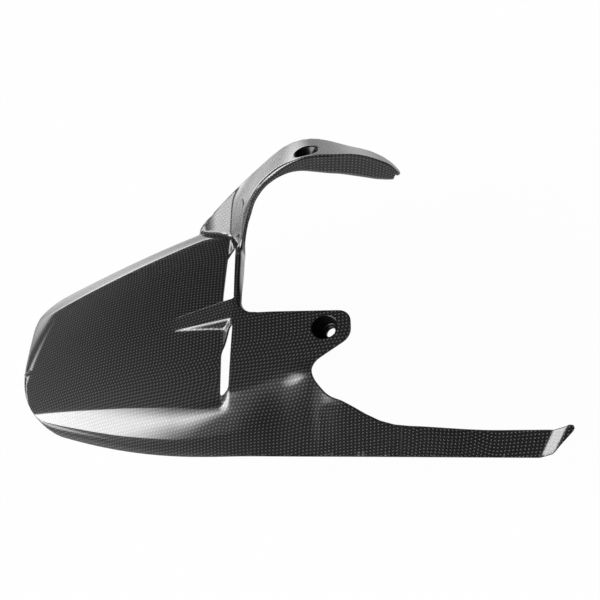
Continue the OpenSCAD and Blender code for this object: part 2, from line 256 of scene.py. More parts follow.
def cross_h(y):
    return (MID_Y**2 - (y - MID_Y) ** 2) / (2 * CROSS_R)


def blade_h(x, y):
    return SLOT_Z + arc_h(x) - arc_h(SLOT_X) + cross_h(y)


def plate_h(x, y):
    return PLATE_RISE * x + cross_h(y)


def deck_h(x, y):
    """Blade behind the step, bar and plate ahead of it."""
    side = fade(STEP_SIDE - 14, STEP_SIDE, y)
    long_step = fade(SLOT_X - SHOULDER_RUN, SLOT_X + SHOULDER_RUN, x)
    short_step = fade(SLOT_X - STEP_RUN / 2, SLOT_X + STEP_RUN / 2, x)
    return mix(blade_h(x, y), plate_h(x, y), mix(long_step, short_step, side))


def ribbed_h(x, y):
    """The rib is a wedge that rises from the blade to the bar's level."""
    along = (x - RIB_REAR_X) / RIB_LEN
    top = mix(blade_h(RIB_REAR_X, RIB_Y), plate_h(RIB_FRONT_X, RIB_Y), along)
    half = mix(RIB_REAR_W, RIB_FRONT_W, along) / 2
    flank = top - RIB_FLANK * (np.abs(y - RIB_Y) - half)
    rib = soft_min(top + cross_h(y) - cross_h(RIB_Y), flank, RIB_SOFT)
    deck = deck_h(x, y)
    return np.where(x > RIB_FRONT_X, deck, soft_max(deck, rib, RIB_FOOT_SOFT))


def edge_y(x):
    """Ground line of the skirt's lower edge."""
    back = SLOT_X - x
    lean = EDGE_LEAN + np.where(back > 0, TAPER * back / 200, 0)
    return NEAR_EDGE_Y + lean * back


def skirt_h(x, y):
    ahead = x - SLOT_X
    low = -SKIRT_LOW + soft_min(EDGE_CLIMB_REAR * ahead, EDGE_CLIMB_FRONT * ahead, EDGE_CLIMB_SOFT)
    slope = mix(SKIRT_SLOPE, ARM_SLOPE, fade(*ARM_BLEND, x))
    slope = slope - BITE_EASE * fade(*EASE_IN, x) * fade(*EASE_OUT, x)
    return low + (y - edge_y(x)) * np.tan(np.radians(slope))


def near_h(x, y):
    """The chain side: shoulder and skirt, the blister beside the bite, and the flared tip."""
    soft = mix(SHOULDER_SOFT, SHOULDER_TIGHT * SHOULDER_SOFT, fade(*SOFT_FRONT, x))
    soft = soft + REAR_SOFT * fade(*SOFT_REAR, x)
    skirt = skirt_h(x, y)
    shouldered = np.where(x > ARM_STARTS, skirt, soft_min(ribbed_h(x, y), skirt, soft))
    away = ((x - BLISTER[0]) / BLISTER[2]) ** 2 + ((y - BLISTER[1]) / BLISTER[3]) ** 2
    shouldered = shouldered + BLISTER[4] * np.exp(-away / 2)
    ramp = (x - FLARE_X - FLARE_LEAN * (y - edge_y(x) - ARM_W)) * FLARE_H / FLARE_RUN
    flare = soft_max(soft_min(ramp, FLARE_H, FLARE_TOP_SOFT), 0, FLARE_FOOT_SOFT)
    return shouldered + flare


def far_y(x):
    """Ground line of the far shoulder, which comes in towards the rear."""
    back = clamp01((FAR_STRAIGHT - x) / (REAR_REACH + FAR_STRAIGHT))
    return MID_Y + FAR_W - FAR_TAPER * sind(90 * back)


def hook_edge(x):
    return HOOK_Y + curve(HOOK_WIDE, x)


def hook_h(x, y):
    """The strap's face from its fold to its far edge. The fold moves outward at the root."""
    inner = curve(HOOK_IN, x)
    fold = HOOK_Y + ROOT_OUT * fade(*FOLD_OUT, x)
    across = (y - fold) / (hook_edge(x) - fold)
    lip = LIP_SLOPE * np.maximum(0, y - hook_edge(x))
    strap = mix(inner, curve(HOOK_OUT, x), np.minimum(across, 1)) - lip
    return np.where(y < fold, inner - FOLD_SLOPE * (fold - y), strap)


def far_h(x, y):
    """The far shoulder is a facet that falls ever faster, and then the skirt."""
    skirt = blade_h(x, far_y(x)) - FAR_SLOPE * (y - far_y(x))
    crease = far_y(x) - FACET_W
    past = np.maximum(y - crease, 0)
    facet = blade_h(x, crease) - FACET_SLOPE * (y - crease) - FACET_BEND * past**2
    blade = soft_min(soft_min(ribbed_h(x, y), facet, FACET_SOFT), skirt, FAR_SOFT)
    return np.where(x < HOOK_ROOT, blade, soft_max(blade, hook_h(x, y), HOOK_SOFT))


def skin(x, y):
    """Height of the outer skin anywhere over the ground plan."""
    x, y = np.broadcast_arrays(np.asarray(x, float), np.asarray(y, float))
    far = np.where(x > HOOK_FRONT, hook_h(x, y), far_h(x, y))
    return np.where(y < MID_Y, near_h(x, y), far)


def far_edge(x):
    """Ground line of the far skirt's and the strap's lower edge."""
    blade_edge = far_y(x) + FAR_DROP / FAR_SLOPE
    strap_edge = hook_edge(x) + LIP_DEEP / LIP_SLOPE
    hooked = mix(blade_edge, strap_edge, fade(HOOK_ROOT, HOOK_ROOT + ROOT_RUN, x))
    return np.where(x < HOOK_ROOT, blade_edge, hooked)


def outward(x, y, step=0.05):
    """Unit normal of the outer skin. On the hook it never looks across the window."""
    held = (x > HOOK_FRONT - HELD_BACK) & (y > HOOK_Y - HELD_SIDE)

    def h(a, b):
        return np.where(held, hook_h(a, np.maximum(b, HOOK_Y)), skin(a, b))

    side = np.where(held, np.maximum(y, HOOK_Y + step), y)
    dx = (h(x + step, side) - h(x - step, side)) / (2 * step)
    dy = (h(x, side + step) - h(x, side - step)) / (2 * step)
    return unit(np.stack([-dx, -dy, np.ones_like(dx)], axis=-1))


def on_skin(plan):
    return np.column_stack([plan, skin(plan[:, 0], plan[:, 1])])


# The trimmed outline

BAR_X = SLOT_X + SLOT_W / 2 + BAR_W + 0.5
PLATE_Y = 27.5
CORNER_R = 16.0
CORNER_DEEP = 3.0
TIP_RUN = 18.0
ARC_STEP = 6
LOOP_STEP = 0.4
SMOOTH_REACH = 8
TRIM_SOFT = 0.9
SLOT_SOFT = 0.5


def rounded(corners):
    """A closed outline through [x, y, radius] corners, each one turned into an arc."""
    out = []
    for i, (*_, r) in enumerate(corners):
        a, b, c = (np.array(corners[k % len(corners)][:2], float) for k in (i - 1, i, i + 1))
        if r == 0:
            out.append(b)
            continue
        u, v = unit(a - b), unit(c - b)
        half = math.acos(np.dot(u, v)) / 2
        middle = b + unit(u + v) * r / math.sin(half)
        first = b + u * r / math.tan(half) - middle
        last = b + v * r / math.tan(half) - middle
        start = math.atan2(first[1], first[0])
        turn = (math.atan2(last[1], last[0]) - start + 5 * math.pi) % (2 * math.pi) - math.pi
        steps = max(2, math.ceil(abs(turn) / math.radians(ARC_STEP)))
        for k in range(steps + 1):
            angle = start + turn * k / steps
            out.append(middle + r * np.array([math.cos(angle), math.sin(angle)]))
    return np.array(out)


def spaced(loop, step):
    """The closed loop again, with points at even spacing."""
    closed = np.vstack([loop, loop[:1]])
    run = np.concatenate([[0], np.cumsum(np.linalg.norm(np.diff(closed, axis=0), axis=1))])
    at = np.linspace(0, run[-1], max(12, int(round(run[-1] / step))), endpoint=False)
    return np.column_stack([np.interp(at, run, closed[:, k]) for k in range(2)])


def softened(loop, reach):
    """Rounds every corner of an evenly spaced loop a little."""
    k = np.arange(-SMOOTH_REACH, SMOOTH_REACH + 1)
    weight = np.exp(-((k * LOOP_STEP / reach) ** 2) / 2)
    weight /= weight.sum()
    return sum(w * np.roll(loop, -j, axis=0) for j, w in zip(k, weight))


def loop_normals(loop):
    """Unit normals in plan that point to the right of the direction of travel."""
    t = np.roll(loop, -1, axis=0) - np.roll(loop, 1, axis=0)
    return unit(np.column_stack([t[:, 1], -t[:, 0]]))


def signed_area(loop):
    x, y = loop.T
    return 0.5 * np.sum(x * np.roll(y, -1) - y * np.roll(x, -1))


def trim_outline():
    """Counterclockwise outline of the moulding, seen from above."""
    arm_y = edge_y(ARM_REACH - TIP_RUN) + ARM_W
    arm_root = 49.0
    rear = -REAR_REACH
    top, low = EAR_W / 2, -EAR_W / 2
    corners = [
        [ARM_REACH - 2 * TIP_RUN, edge_y(ARM_REACH) - ARM_W, 0],
        [ARM_REACH, arm_y, 1.5],
        [arm_root, edge_y(arm_root) + ARM_W, 120],
        [2, edge_y(0) + 28, 30],
        [-19, low - 21, 12.5],
        [EAR_FRONT, low + 1.5, 13],
        [EAR_FRONT, top - 0.5, 11],
        [-52, 24.5, 40],
        [BAR_X, PLATE_Y, CORNER_R],
        [BAR_X, HOOK_Y, 3.5],
        [BEAK_REACH, HOOK_Y, 2],
        [BEAK_REACH, HOOK_Y + 60, 0],
        [HOOK_ROOT, far_edge(HOOK_ROOT) + 60, 0],
        [rear + 60, far_edge(rear + 60) + 2, 60],
        [rear, far_edge(rear) + 0.5, 50],
        [rear, edge_y(rear) - 1, 95],
        [rear + 110, edge_y(rear + 110) - 8, 0],
        [SLOT_X, edge_y(SLOT_X) - 16, 0],
    ]
    loop = spaced(rounded(corners), LOOP_STEP)
    loop[:, 1] = np.maximum(loop[:, 1], edge_y(loop[:, 0]))
    far = loop[:, 1] > HOOK_Y + 1
    loop[far, 1] = np.minimum(loop[far, 1], far_edge(loop[far, 0]))
    keep = np.linalg.norm(loop - np.roll(loop, 1, axis=0), axis=1) > 1e-4
    loop = softened(spaced(loop[keep], LOOP_STEP), TRIM_SOFT)
    return loop if signed_area(loop) > 0 else loop[::-1]


def slot_outlines():
    """Clockwise outlines of the two slots behind the bar, on either side of the rib."""
    front = SLOT_X + SLOT_W / 2
    far = [
        [front, RIB_Y + 10, 0.6], [front - 1.5, HOOK_Y - 6.5, 1], [SLOT_X - 2.5, HOOK_Y - 8, 1],
        [SLOT_X - 4.2, HOOK_Y - 13, 6], [SLOT_X - 6, RIB_Y + 18, 30],
        [SLOT_X - 4.5, RIB_Y + 10, 0.6],
    ]
    near = [
        [front, RIB_Y - 16, 1.5], [SLOT_X + 0.5, RIB_Y - 17, 1.5], [SLOT_X - 5, RIB_Y - 38, 12],
        [SLOT_X - 4.5, NEAR_EDGE_Y + 37, 3.5], [front - 1.5, NEAR_EDGE_Y + 37, 3.5],
    ]
    loops = [softened(spaced(rounded(c), LOOP_STEP), SLOT_SOFT) for c in (far, near)]
    return [loop[::-1] if signed_area(loop) > 0 else loop for loop in loops]


# Edges, folds and flange

LIP_R = 0.7
PLAIN_DEEP = 2.2
BAR_LEAN = 3.0
CORNER_LEAN = 1
BAR_FOLD = 2.2
# The share of the flange's depth that its fold may take, the rounding of its rim, and the part of
# a plain edge that is its rim
FOLD_SHARE = 0.6
RIM_R = 0.5
RIM_SPAN = (0.45, 0.55)
# Places along the window's edge, from the beak: where the hook, the bar and the corner end
HOOK_END = BEAK_REACH - BAR_X
BAR_END = HOOK_END + HOOK_Y - PLATE_Y - CORNER_R
CORNER_END = BAR_END + CORNER_R * math.pi / 2
# Runs of that way: over which the flange starts, passes from hook to bar, gets shallow before the
# corner, and turns into a plain lip after it
FLANGE_START = -4
HOOK_TO_BAR = 4
FOLD_TO_BAR = 20
SHALLOW_RUN = 35
PLAIN_RUN = 17
# Along the hook: [x, forward lean of the flange, its depth, roundness of the fold above it]
HOOK_FLANGE = [
    [-72, 5.5, 6, 5], [-68, 6, 2.5, 6.5], [-62, 6, 2.5, 7.5], [-55, 6, 3, 7.5], [-46, 6, 5, 6],
    [-37, 5.5, 8, 4], [-27, 3, 12, 2], [-16, 1, BEAK_DEEP - 8, 1.3], [-4, 0, BEAK_DEEP - 4.5, 1.3],
    [12, 0, BEAK_DEEP - 2, 1.4], [BEAK_REACH - 38, 0, BEAK_DEEP + 0.3, 1.6],
    [BEAK_REACH - 28, 0, BEAK_DEEP - 0.3, 1.6], [BEAK_REACH - 19, 0, BEAK_DEEP - 2.5, 1.6],
    [BEAK_REACH - 8, -1, BEAK_DEEP - 9, 1.5], [BEAK_REACH, -3, 4.5, 1.2],
]
FOLD_STEPS, FLANGE_STEPS, RIM_STEPS = 5, 6, 3


def bezier(a, b, c, steps):
    """Points from a to c round the corner b, with both ends."""
    share = np.linspace(0, 1, steps + 1)
    return [(1 - t) ** 2 * a + 2 * t * (1 - t) * b + t * t * c for t in share]


def window_way(loop):
    """How far each outline point lies along the window's edge, from the beak to the plate."""
    x, y = loop.T
    arc_x, arc_y = BAR_X + CORNER_R, PLATE_Y + CORNER_R
    way = np.full(len(loop), np.nan)
    # the margins take in the outline's softened corners
    on_beak = (x > BEAK_REACH - 3) & (y > HOOK_Y - 0.5)
    on_hook = (x > BAR_X + 3) & (np.abs(y - HOOK_Y) < 0.6) & ~on_beak
    on_bar = (x > BAR_X - 1) & (x < BAR_X + 3.5) & (y > arc_y) & (y < HOOK_Y + 1)
    on_arc = (x > BAR_X - 1) & (x < arc_x) & (y > PLATE_Y - 1) & (y <= arc_y)
    on_plate = (x >= arc_x) & (x < -30) & (y > PLATE_Y - 8) & (y < PLATE_Y + 2)
    along_bar = HOOK_END + np.maximum(HOOK_Y - y, 0) - 0.4 * (x - BAR_X)
    along_arc = BAR_END + CORNER_R * np.arctan2(arc_y - y, arc_x - x)
    for part, run in (
        (on_beak, HOOK_Y - y), (on_hook, BEAK_REACH - x), (on_bar, along_bar),
        (on_arc, along_arc), (on_plate, CORNER_END + x - arc_x),
    ):
        way[part] = run[part]
    return way


def flange_sizes(loop):
    """Share of fold (0 plain lip, 1 flange), depth, lean into the window and forward, roundness."""
    way = window_way(loop)
    x = BEAK_REACH - np.clip(np.nan_to_num(way, nan=-50), 0, HOOK_END)
    on_hook = 1 - fade(HOOK_END - HOOK_TO_BAR, HOOK_END + HOOK_TO_BAR, way)
    forward, depth, soft = (curve([[r[0], r[k]] for r in HOOK_FLANGE], x) for k in (1, 2, 3))
    depth = mix(BAR_FLANGE, depth, on_hook)
    soft = mix(BAR_FOLD, soft, 1 - fade(HOOK_END - HOOK_TO_BAR, HOOK_END + FOLD_TO_BAR, way))
    depth = mix(depth, CORNER_DEEP, fade(BAR_END - SHALLOW_RUN, BAR_END, way))
    depth = mix(depth, PLAIN_DEEP, fade(CORNER_END, CORNER_END + PLAIN_RUN, way))
    depth = mix(PLAIN_DEEP, depth, fade(FLANGE_START, 3, way))
    into = mix(BAR_LEAN, CORNER_LEAN, fade(BAR_END, CORNER_END, way)) * (1 - on_hook)
    share = fade(FLANGE_START, 2, way) * (1 - fade(CORNER_END + 2, CORNER_END + PLAIN_RUN, way))
    none = np.isnan(way)
    plain = (0, PLAIN_DEEP, 0, 0, LIP_R)
    sizes = (share, depth, into, forward * on_hook, soft)
    return [np.where(none, fill, size) for size, fill in zip(sizes, plain)]


def edge_rings(loop, wall):
    """Rings of (place, way to the inside, distance run), from the outer skin round to the inner."""
    n2 = loop_normals(loop)
    share, depth, into, forward, soft = flange_sizes(loop)
    inset = mix(LIP_R, soft, share)
    plan_in = loop - inset[:, None] * n2
    p_in = on_skin(plan_in)
    corner = on_skin(loop)
    held = (loop[:, 0] > HOOK_FRONT) & (loop[:, 1] > HOOK_Y - 1)
    corner[held, 2] = hook_h(loop[held, 0], np.maximum(loop[held, 1], HOOK_Y))
    normal = outward(plan_in[:, 0], plan_in[:, 1])
    n3 = np.column_stack([n2, np.zeros(len(loop))])
    fall = n3 * into[:, None] + np.column_stack([forward, 0 * depth, -depth])
    length = np.linalg.norm(fall, axis=1, keepdims=True)
    down = fall / length
    tangent = np.roll(corner, -1, axis=0) - np.roll(corner, 1, axis=0)
    inside = unit(np.cross(down, tangent))
    inside *= np.sign(np.sum(inside * -n3, axis=1, keepdims=True))
    low = corner + fall
    f0 = corner + down * np.minimum(soft[:, None], length * FOLD_SHARE)
    s = share[:, None]

    def fold(*points):
        return bezier(*points, FOLD_STEPS)

    none = np.zeros_like(corner)
    # outer fold
    flange = [(p, none) for p in fold(p_in, corner, f0)]
    lip = [(p, none) for p in fold(p_in, corner, corner - LIP_R * normal)]
    # outer face of the flange, and the upper half of a plain edge
    for t in np.linspace(0, 1, FLANGE_STEPS + 1)[1:]:
        flange.append((mix(f0, low - RIM_R * down, t), none))
        lip.append((corner - mix(LIP_R, RIM_SPAN[0] * wall, t) * normal, none))
    # lower rim
    for t in (0.25, 0.75):
        flange.append((low, t * inside))
        lip.append((corner, -mix(*RIM_SPAN, t) * normal))
    # inner face and inner fold
    for t in np.linspace(0, 1, RIM_STEPS + 1):
        flange.append((mix(low - RIM_R * down, f0, t), inside))
        lip.append((corner, -mix(RIM_SPAN[1], 1 - LIP_R / wall, t) * normal))
    flange += list(zip(fold(f0, corner, p_in), fold(inside, inside - normal, -normal)))[1:]
    lip_end = -(1 - LIP_R / wall) * normal
    lip += list(zip(fold(corner, corner, p_in), fold(lip_end, -normal, -normal)))[1:]

    rings, run, last = [], np.zeros(len(loop)), None
    for (fp, fw), (lp, lw) in zip(flange, lip):
        place, way = mix(lp, fp, s), mix(lw, fw, s)
        full = place + wall * way
        if last is not None:
            run = run + np.linalg.norm(full - last, axis=1)
        last = full
        rings.append((place, way, run))
    return plan_in, n2, rings


# Bolt cups

CUP_POINTS = 72
# Where the hook's cup lies on the strap: x, and its share of the strap's width
HOOK_CUP_X = -15.5
HOOK_CUP_SHARE = 0.33
EAR_CUP_ROUND = 1.2
HOOK_CUP_ROUND = 1.4
CUP_RIM_DEEP = 1.1
CUP_FILLET = 1.0
HOLE_BEVEL = 0.25


def cup_frames():
    """Middle of each cup's mouth on the skin, its axis, and how wide its rim is rounded."""
    hook, lean = math.radians(HOOK_LEAN), math.radians(BOLT_LEAN)
    hook_xy = (HOOK_CUP_X, HOOK_Y + HOOK_CUP_SHARE * HOOK_W)
    level = math.cos(lean)
    ear_axis = np.array([-math.sin(EAR_TURN), 0, math.cos(EAR_TURN)])
    hook_axis = np.array([-math.sin(hook) * level, math.sin(lean), math.cos(hook) * level])
    return [
        (np.zeros(3), ear_axis, EAR_CUP_ROUND),
        (np.array([*hook_xy, skin(*hook_xy)]), hook_axis, HOOK_CUP_ROUND),
    ]


def cup_rings(middle, axis, round_r, wall):
    """Rings from the skin over the rim, down the cup, through its hole and back up outside it."""
    angle = np.linspace(0, 2 * math.pi, CUP_POINTS, endpoint=False)
    e1 = unit(np.cross([0, 1, 0], axis))
    e2 = np.cross(axis, e1)
    ray = np.outer(np.cos(angle), e1) + np.outer(np.sin(angle), e2)
    grow = (CUP_D - CUP_FLOOR_D) / 2 / CUP_DEEP

    def on_cone(w):
        r = CUP_D / 2 + grow * np.minimum(w, 0)
        return middle + ray * r[:, None] + np.outer(w, axis)

    low, high = np.full(CUP_POINTS, -9.0), np.full(CUP_POINTS, 9.0)
    for _ in range(40):
        w = (low + high) / 2
        p = on_cone(w)
        above = p[:, 2] > skin(p[:, 0], p[:, 1])
        high, low = np.where(above, w, high), np.where(above, low, w)
    rim = on_cone(w)
    away = unit(rim[:, :2] - rim[:, :2].mean(axis=0))
    plan = rim[:, :2] + round_r * away
    start = on_skin(plan)
    normal = outward(plan[:, 0], plan[:, 1])

    def ring(r, depth):
        return middle + ray * r - depth * axis

    floor_r, hole_r = CUP_FLOOR_D / 2, BOLT_D / 2
    points = bezier(start, rim, on_cone(w - CUP_RIM_DEEP), 5)
    wall_low = on_cone(np.full(CUP_POINTS, -CUP_DEEP + CUP_FILLET))
    points += [mix(points[-1], wall_low, t) for t in (0.33, 0.67)]
    points += bezier(wall_low, ring(floor_r, CUP_DEEP), ring(floor_r - CUP_FILLET, CUP_DEEP), 4)
    points += [ring(r, CUP_DEEP) for r in (mix(floor_r, hole_r, 0.6), hole_r + HOLE_BEVEL)]
    drops = (HOLE_BEVEL, CUP_FLOOR / 2, CUP_FLOOR - HOLE_BEVEL)
    points += [ring(hole_r, CUP_DEEP + drop) for drop in drops]
    rows = [(p, np.zeros_like(rim)) for p in points]
    back = np.tile(-axis, (CUP_POINTS, 1))
    under = CUP_DEEP + CUP_FLOOR - wall
    outside = (hole_r + HOLE_BEVEL, mix(hole_r, floor_r, 0.6), floor_r + 1.4)
    rows += [(ring(r, under), back) for r in outside]
    foot = ring(floor_r + 2.0, under - 0.6)
    rows += [(foot, back), (mix(foot, start, 0.5), mix(back, -normal, 0.5)), (start, -normal)]
    return plan, rows


# The mesh

# Finer meshing where the form turns quickly: [x from, to, y from, to, step]. The inner skin is
# hidden in the photo and gets a coarser one.
FINE_ZONES = [
    [-142, -68, 10, 60, 1.0],
    [-92, -66, -52, 118, 1.0],
    [-120, 64, 108, 160, 1.3],
    [160, 200, -100, -60, 1.3],
    [-30, 30, -50, 16, 1.4],
]
COARSE_ZONES = [[*zone[:4], 2.6] for zone in FINE_ZONES[:3]]
PLAN_ZONE = [-290, 205, -110, 165]
FINE_STEP, COARSE_STEP = 1.9, 5.0
EDGE_STEP = 1.3
ZONE_GAP = 0.4
EDGE_GAP = 0.62
CHUNK = 4000


def grid_points(zones, base):
    """Triangular grids of points over the plan, each zone at its own spacing."""
    claimed, out = [], []
    for x0, x1, y0, y1, step in zones + [[*PLAN_ZONE, base]]:
        rows = np.arange(y0, y1, step * math.sqrt(3) / 2)
        cols = np.arange(x0, x1, step)
        x, y = np.meshgrid(cols, rows)
        x = x + (np.arange(len(rows)) % 2)[:, None] * step / 2
        p = np.column_stack([x.ravel(), y.ravel()])
        free = np.ones(len(p), bool)
        for a0, a1, b0, b1 in claimed:
            gap = ZONE_GAP * step
            in_x = (p[:, 0] > a0 - gap) & (p[:, 0] < a1 + gap)
            free &= ~(in_x & (p[:, 1] > b0 - gap) & (p[:, 1] < b1 + gap))
        claimed.append((x0, x1, y0, y1))
        out.append((p[free], step))
    return out


def within(points, loops):
    """Which points lie inside the outline and outside its holes."""
    inside = np.zeros(len(points), bool)
    x, y = points[:, 0], points[:, 1]
    for loop in loops:
        for (ax, ay), (bx, by) in zip(loop, np.roll(loop, -1, axis=0)):
            if ay == by:
                continue
            cross = (ay > y) != (by > y)
            inside ^= cross & (x < (bx - ax) * (y - ay) / (by - ay) + ax)
    return inside


def clear_of(points, edge, gap):
    """Which points lie further than the gap from every edge point."""
    ok = np.ones(len(points), bool)
    for k in range(0, len(points), CHUNK):
        d = points[k : k + CHUNK, None] - edge
        ok[k : k + CHUNK] = (d**2).sum(axis=2).min(axis=1) > gap**2
    return ok


def filled(loops, zones, base):
    """Triangles between the loops: interior points, and faces by index into loops then points."""
    edge = np.vstack(loops)
    free = []
    for points, step in grid_points(zones, base):
        points = points[within(points, loops)]
        free.append(points[clear_of(points, edge, EDGE_GAP * step)])
    free = np.vstack(free)
    rings, first = [], 0
    for loop in loops:
        k = np.arange(len(loop))
        rings += [(int(first + a), int(first + b)) for a, b in zip(k, np.roll(k, -1))]
        first += len(loop)
    every = np.vstack([edge, free])
    made = delaunay_2d_cdt([tuple(p) for p in every], rings, [], 0, 1e-7, True)
    verts, faces, sources = np.array([tuple(v) for v in made[0]]), np.array(made[2]), made[3]
    to_input = np.array([s[0] if s else -1 for s in sources])
    on_edge = (to_input[faces] < len(edge)).all(axis=1)
    middle = verts[faces].mean(axis=1)
    keep = ~on_edge
    keep[on_edge] = within(middle[on_edge], loops)
    faces = to_input[faces[keep]]
    faces = faces[(faces >= 0).all(axis=1)]
    a, b, c = (every[faces[:, k]] for k in range(3))
    ab, ac = b - a, c - a
    turn = ab[:, 0] * ac[:, 1] - ab[:, 1] * ac[:, 0]
    faces[turn < 0] = faces[turn < 0][:, ::-1]
    return free, faces


class Cloth:
    """Distances run over the skin, which place the weave: u forward, v across."""

    STEP = 1.0
    STEEPEST = 4
    SEAM = 2

    def __init__(self):
        self.x = np.arange(-300.0, 215.0, self.STEP)
        self.y = np.arange(-120.5, 175.0, self.STEP)
        gx, gy = np.meshgrid(self.x, self.y, indexing="ij")
        h = skin(gx, gy)
        du, dv = (
            np.sqrt(1 + np.minimum(np.abs(np.diff(h, axis=axis)), self.STEEPEST) ** 2) * self.STEP
            for axis in (0, 1)
        )
        zero_u, zero_v = np.zeros((1, len(self.y))), np.zeros((len(self.x), 1))
        self.u = np.vstack([zero_u, np.cumsum(du, axis=0)])
        self.v = np.hstack([zero_v, np.cumsum(dv, axis=1)])
        middle = np.argmin(np.abs(self.y - MID_Y))
        self.v -= self.v[:, middle : middle + 1]
        # ahead of the bar, the hook's own cloth starts from the window's edge
        front = self.x > HOOK_FRONT - self.SEAM
        line = np.argmin(np.abs(self.y - HOOK_Y))
        seam = np.argmin(np.abs(self.x - (HOOK_FRONT - self.SEAM)))
        self.v[front, line:] += (self.v[seam, line] - self.v[front, line])[:, None]

    def at(self, plan):
        """Cloth places of plan points, read between the grid's lines."""
        out = []
        fx = np.clip((plan[:, 0] - self.x[0]) / self.STEP, 0, len(self.x) - 1.001)
        fy = np.clip((plan[:, 1] - self.y[0]) / self.STEP, 0, len(self.y) - 1.001)
        i, j = fx.astype(int), fy.astype(int)
        s, t = fx - i, fy - j
        for grid in (self.u, self.v):
            near = mix(grid[i, j], grid[i + 1, j], s)
            far = mix(grid[i, j + 1], grid[i + 1, j + 1], s)
            out.append(mix(near, far, t))
        return np.column_stack(out)


class Build:
    """Collects points, their way to the inside, cloth places and faces."""

    def __init__(self):
        self.places, self.ways, self.cloth, self.count = [], [], [], 0
        self.faces, self.kinds = [], []

    def add(self, places, ways, cloth):
        first = self.count
        self.places.append(places)
        self.ways.append(ways)
        self.cloth.append(cloth)
        self.count += len(places)
        return first + np.arange(len(places))

    def skin_faces(self, faces, ids, kind):
        self.faces += ids[faces].tolist()
        self.kinds += [kind] * len(faces)

    def band(self, upper, lower, kind):
        """Quads between two closed rings, their fronts on the right of the way they run."""
        a, b = upper, np.roll(upper, -1)
        c, d = np.roll(lower, -1), lower
        self.faces += np.column_stack([a, d, c, b]).tolist()
        self.kinds += [kind] * len(upper)


OUTSIDE, INSIDE, CUP = 0, 1, 2


def shell_data(wall):
    """All of the moulding's points and faces."""
    build, cloth = Build(), Cloth()
    loops, bands = [], []
    for loop in [trim_outline(), *slot_outlines()]:
        plan, n2, rings = edge_rings(spaced(loop, EDGE_STEP), wall)
        loops.append(plan)
        bands.append((plan, n2, rings, None))
    for middle, axis, round_r in cup_frames():
        plan, rows = cup_rings(middle, axis, round_r, wall)
        if signed_area(plan) > 0:
            plan, rows = plan[::-1], [(p[::-1], w[::-1]) for p, w in rows]
        loops.append(plan)
        bands.append((plan, None, rows, CUP))

    first_rings, last_rings = [], []
    for plan, n2, rings, kind in bands:
        base = cloth.at(plan)
        ids = []
        for k, row in enumerate(rings):
            run = row[2][:, None] * n2 if kind is None else np.zeros_like(base)
            ids.append(build.add(row[0], row[1], base + run))
        for k in range(len(ids) - 1):
            if kind is None:
                face_kind = OUTSIDE if k < FOLD_STEPS + FLANGE_STEPS + 2 else INSIDE
            else:
                face_kind = OUTSIDE if k < 1 else CUP if k < len(ids) - 4 else INSIDE
            build.band(ids[k], ids[k + 1], face_kind)
        first_rings.append(ids[0])
        last_rings.append(ids[-1])

    for free, faces, edge_ids, kind in (
        (*filled(loops, FINE_ZONES, FINE_STEP), first_rings, OUTSIDE),
        (*filled(loops, COARSE_ZONES, COARSE_STEP), last_rings, INSIDE),
    ):
        way = -outward(free[:, 0], free[:, 1]) if kind == INSIDE else np.zeros((len(free), 3))
        ids = np.concatenate([*edge_ids, build.add(on_skin(free), way, cloth.at(free))])
        build.skin_faces(faces if kind == OUTSIDE else faces[:, ::-1], ids, kind)
    return build


def shell_mesh(name, build):
    mesh = bpy.data.meshes.new(name)
    places = (np.vstack(build.places) - EAR_HOLE) * MM
    mesh.from_pydata(places.tolist(), [], build.faces)
    ways = np.vstack(build.ways).astype(np.float32)
    mesh.attributes.new("inward", "FLOAT_VECTOR", "POINT").data.foreach_set("vector", ways.ravel())
    kinds = np.array(build.kinds)
    for label, kind in (("inside", INSIDE), ("cup", CUP)):
        mesh.attributes.new(label, "BOOLEAN", "FACE").data.foreach_set("value", kinds == kind)
    corner = np.empty(len(mesh.loops), np.int32)
    mesh.loops.foreach_get("vertex_index", corner)
    uv = np.vstack(build.cloth)[corner].astype(np.float32)
    mesh.uv_layers.new(name="Cloth").data.foreach_set("uv", uv.ravel())
    mesh.update()
    return mesh


# Small makers of nodes

def srgb(text):
    """A hex colour as linear red, green, blue and alpha."""
    parts = [int(text[k : k + 2], 16) / 255 for k in (1, 3, 5)]
    return [*(c / 12.92 if c <= 0.04045 else ((c + 0.055) / 1.055) ** 2.4 for c in parts), 1.0]


def add(tree, kind, inputs=None, **settings):
    """Adds a node with its settings. inputs maps a socket to a value, or to an output to link."""
    node = tree.nodes.new(kind)
    for key, value in settings.items():
        setattr(node, key, value)
    for key, value in (inputs or {}).items():
        if isinstance(value, bpy.types.NodeSocket):
            tree.links.new(value, node.inputs[key])
        else:
            node.inputs[key].default_value = value
    return node


def formula(tree, parts):
    """Nodes for a nested (operation, value, value...) tuple. SMOOTH takes a value and runs smoothly
    between two places of it, from 0 to 1 or between two more values."""
    if not isinstance(parts, tuple):
        return parts
    op, *values = (formula(tree, part) for part in parts)
    if op == "SMOOTH":
        sockets = ("Value", "From Min", "From Max", "To Min", "To Max")
        return add(tree, "ShaderNodeMapRange", dict(zip(sockets, (*values, 0.0, 1.0))),
                   interpolation_type="SMOOTHSTEP").outputs[0]
    while len(values) > 2:
        values[:2] = [formula(tree, (op, *values[:2]))]
    return add(tree, "ShaderNodeMath", dict(enumerate(values)), operation=op).outputs[0]


# Materials

# The cloth lies at 45 degrees to the wheel's way
WEAVE_ANGLE = 45
# How much of the warp tows' painted sheen the weft tows get, and how deep the crossings lie
WEFT_SHARE = 0.1
RELIEF_DEEP = 0.1


